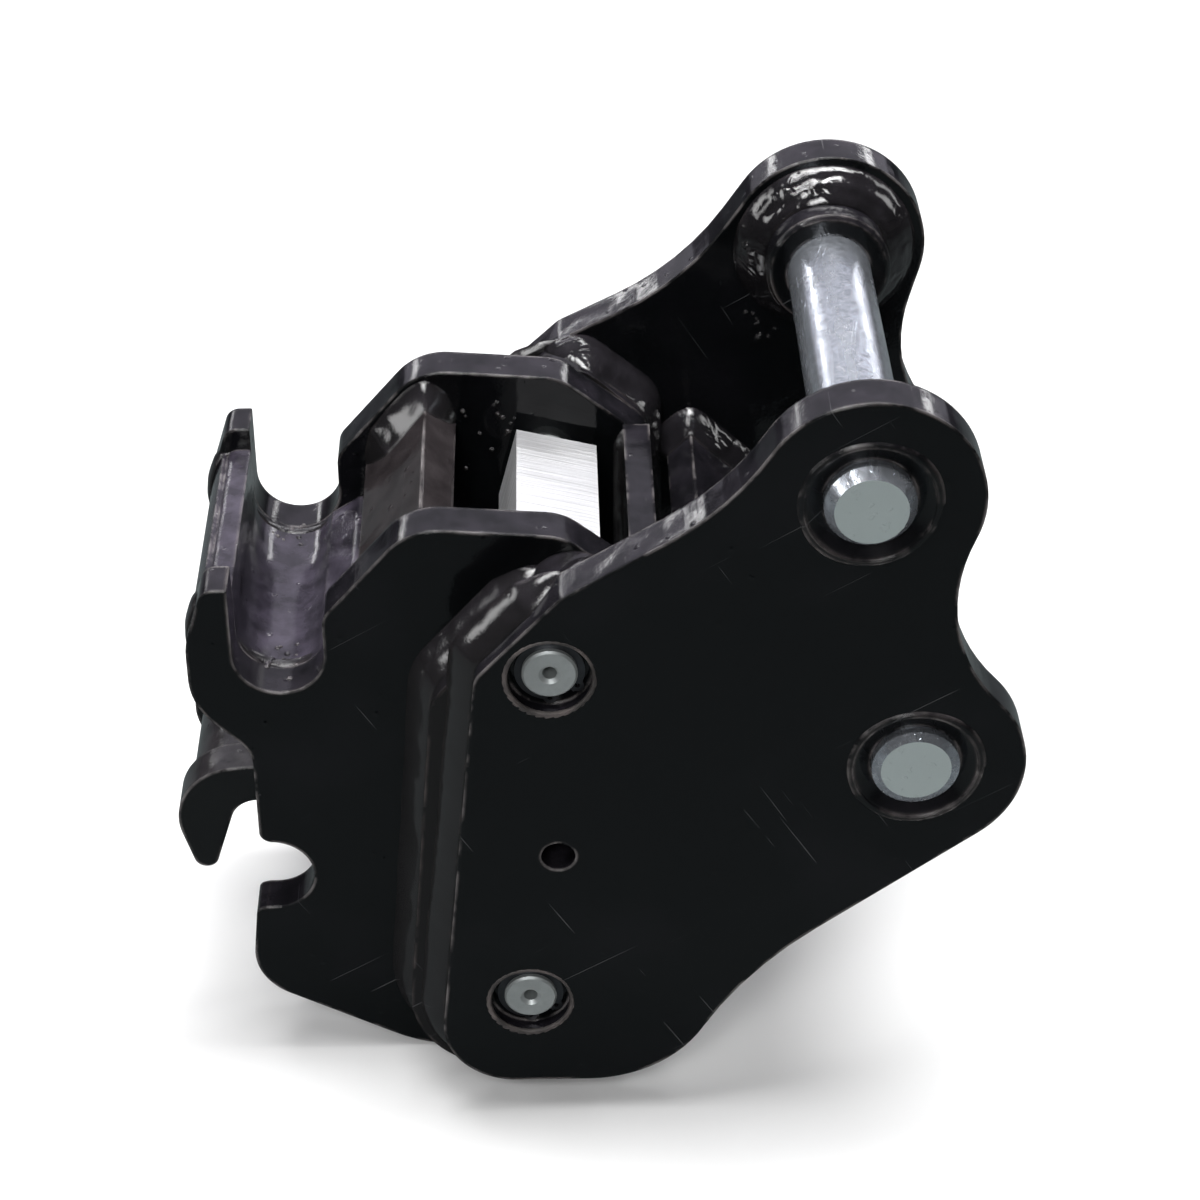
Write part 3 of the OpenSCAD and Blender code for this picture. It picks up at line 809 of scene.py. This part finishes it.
def floor_paper():
    """White paper, dimmer in reflections, as if the coupler stood on a small sheet of it."""
    mat, t, bsdf = material("floor_paper")
    ray = t.nodes.new("ShaderNodeLightPath")
    color = mix_color(t, noise_tex(t, coords(t), 3, 2), PAPER, PAPER_WARM)
    color = mix_color(t, ray.outputs["Is Glossy Ray"], color, PAPER_REFLECTED)
    t.links.new(color, bsdf.inputs["Base Color"])
    bsdf.inputs["Roughness"].default_value = 0.8
    bsdf.inputs["Specular IOR Level"].default_value = 0.1
    distance = t.nodes.new("ShaderNodeVectorMath")
    distance.operation = "LENGTH"
    t.links.new(coords(t), distance.inputs[0])
    far = ramp(t, distance.outputs["Value"], *FADE)
    bsdf.inputs["Emission Color"].default_value = (*WHITE, 1)
    glow = times(t, far, ray.outputs["Is Camera Ray"])
    t.links.new(glow, bsdf.inputs["Emission Strength"])
    return mat


def add_floor():
    mesh = bpy.data.meshes.new("floor")
    square = ((-1, -1), (1, -1), (1, 1), (-1, 1))
    mesh.from_pydata([(x * FLOOR_HALF, y * FLOOR_HALF, FLOOR_Z) for x, y in square], [], [(0, 1, 2, 3)])
    mesh.materials.append(floor_paper())
    ob = bpy.data.objects.new("floor", mesh)
    scene.collection.objects.link(ob)


def add_background():
    world = bpy.data.worlds.new("studio")
    scene.world = world
    world.use_nodes = True
    tree = world.node_tree
    sky = tree.nodes["Background"]
    sky.inputs[0].default_value = (*WHITE, 1)
    ray = tree.nodes.new("ShaderNodeLightPath")
    strength = ramp(tree, ray.outputs["Is Camera Ray"], 0, 1, SKY_LIGHT, 1.0)
    tree.links.new(strength, sky.inputs[1])


add_floor()
add_background()


# ---------- lights ----------

def softbox(name, place, aim_height, size, power, color=WHITE):
    """A rectangular lamp that looks at the coupler's middle, at that height."""
    data = bpy.data.lights.new(name, "AREA")
    data.shape = "RECTANGLE"
    data.size, data.size_y = size
    data.energy = power
    data.color = color
    ob = bpy.data.objects.new(name, data)
    scene.collection.objects.link(ob)
    ob.location = place
    ob.rotation_mode = "QUATERNION"
    ob.rotation_quaternion = (Vector((0, 0, aim_height)) - Vector(place)).to_track_quat("-Z", "Y")
    ob.visible_camera = False


softbox("top", (0.0, 0.1, 2.0), 0.2, (1.6, 0.5), 34)
softbox("strip_a", (-0.35, -0.25, 1.7), 0.2, (0.06, 1.2), 10)
softbox("strip_b", (0.5, 0.15, 1.7), 0.2, (0.06, 1.2), 8)
softbox("back", (0.1, 2.6, 1.3), 0.2, (4.0, 2.0), 15, (0.90, 0.88, 1.0))
softbox("back_high", (0.1, 1.75, 2.05), 0.3, (4.0, 0.07), 16)
softbox("back_low", (0.1, 2.4, 0.95), 0.3, (4.0, 0.07), 12)
softbox("front", (-0.5, -2.4, 2.3), 0.2, (1.0, 0.8), 42)
softbox("left", (-2.0, -0.4, 1.3), 0.2, (0.5, 1.2), 10)
softbox("right", (2.0, 0.2, 1.2), 0.2, (0.5, 1.2), 7)


# ---------- camera, fitted to the round pins of the photo ----------

SENSOR = 36
FOCAL_LENGTH = 87.39
CAMERA_AT = Vector((-0.018, -1.156, 1.030))
RIGHT = Vector((0.9997, -0.0225, 0.0))
DOWN = Vector((-0.0129, -0.5748, -0.8182))
FORWARD = Vector((0.0184, 0.818, -0.5749))

cam_data = bpy.data.cameras.new("camera")
cam_data.lens = FOCAL_LENGTH
cam_data.sensor_width = SENSOR
cam_data.clip_start = 0.05
cam_data.clip_end = 60
cam = bpy.data.objects.new("camera", cam_data)
scene.collection.objects.link(cam)
columns = (RIGHT, -DOWN, -FORWARD, CAMERA_AT)
cam.matrix_world = Matrix([[c[row] for c in columns] for row in range(3)] + [[0, 0, 0, 1]])
scene.camera = cam
scene.view_settings.view_transform = "Standard"
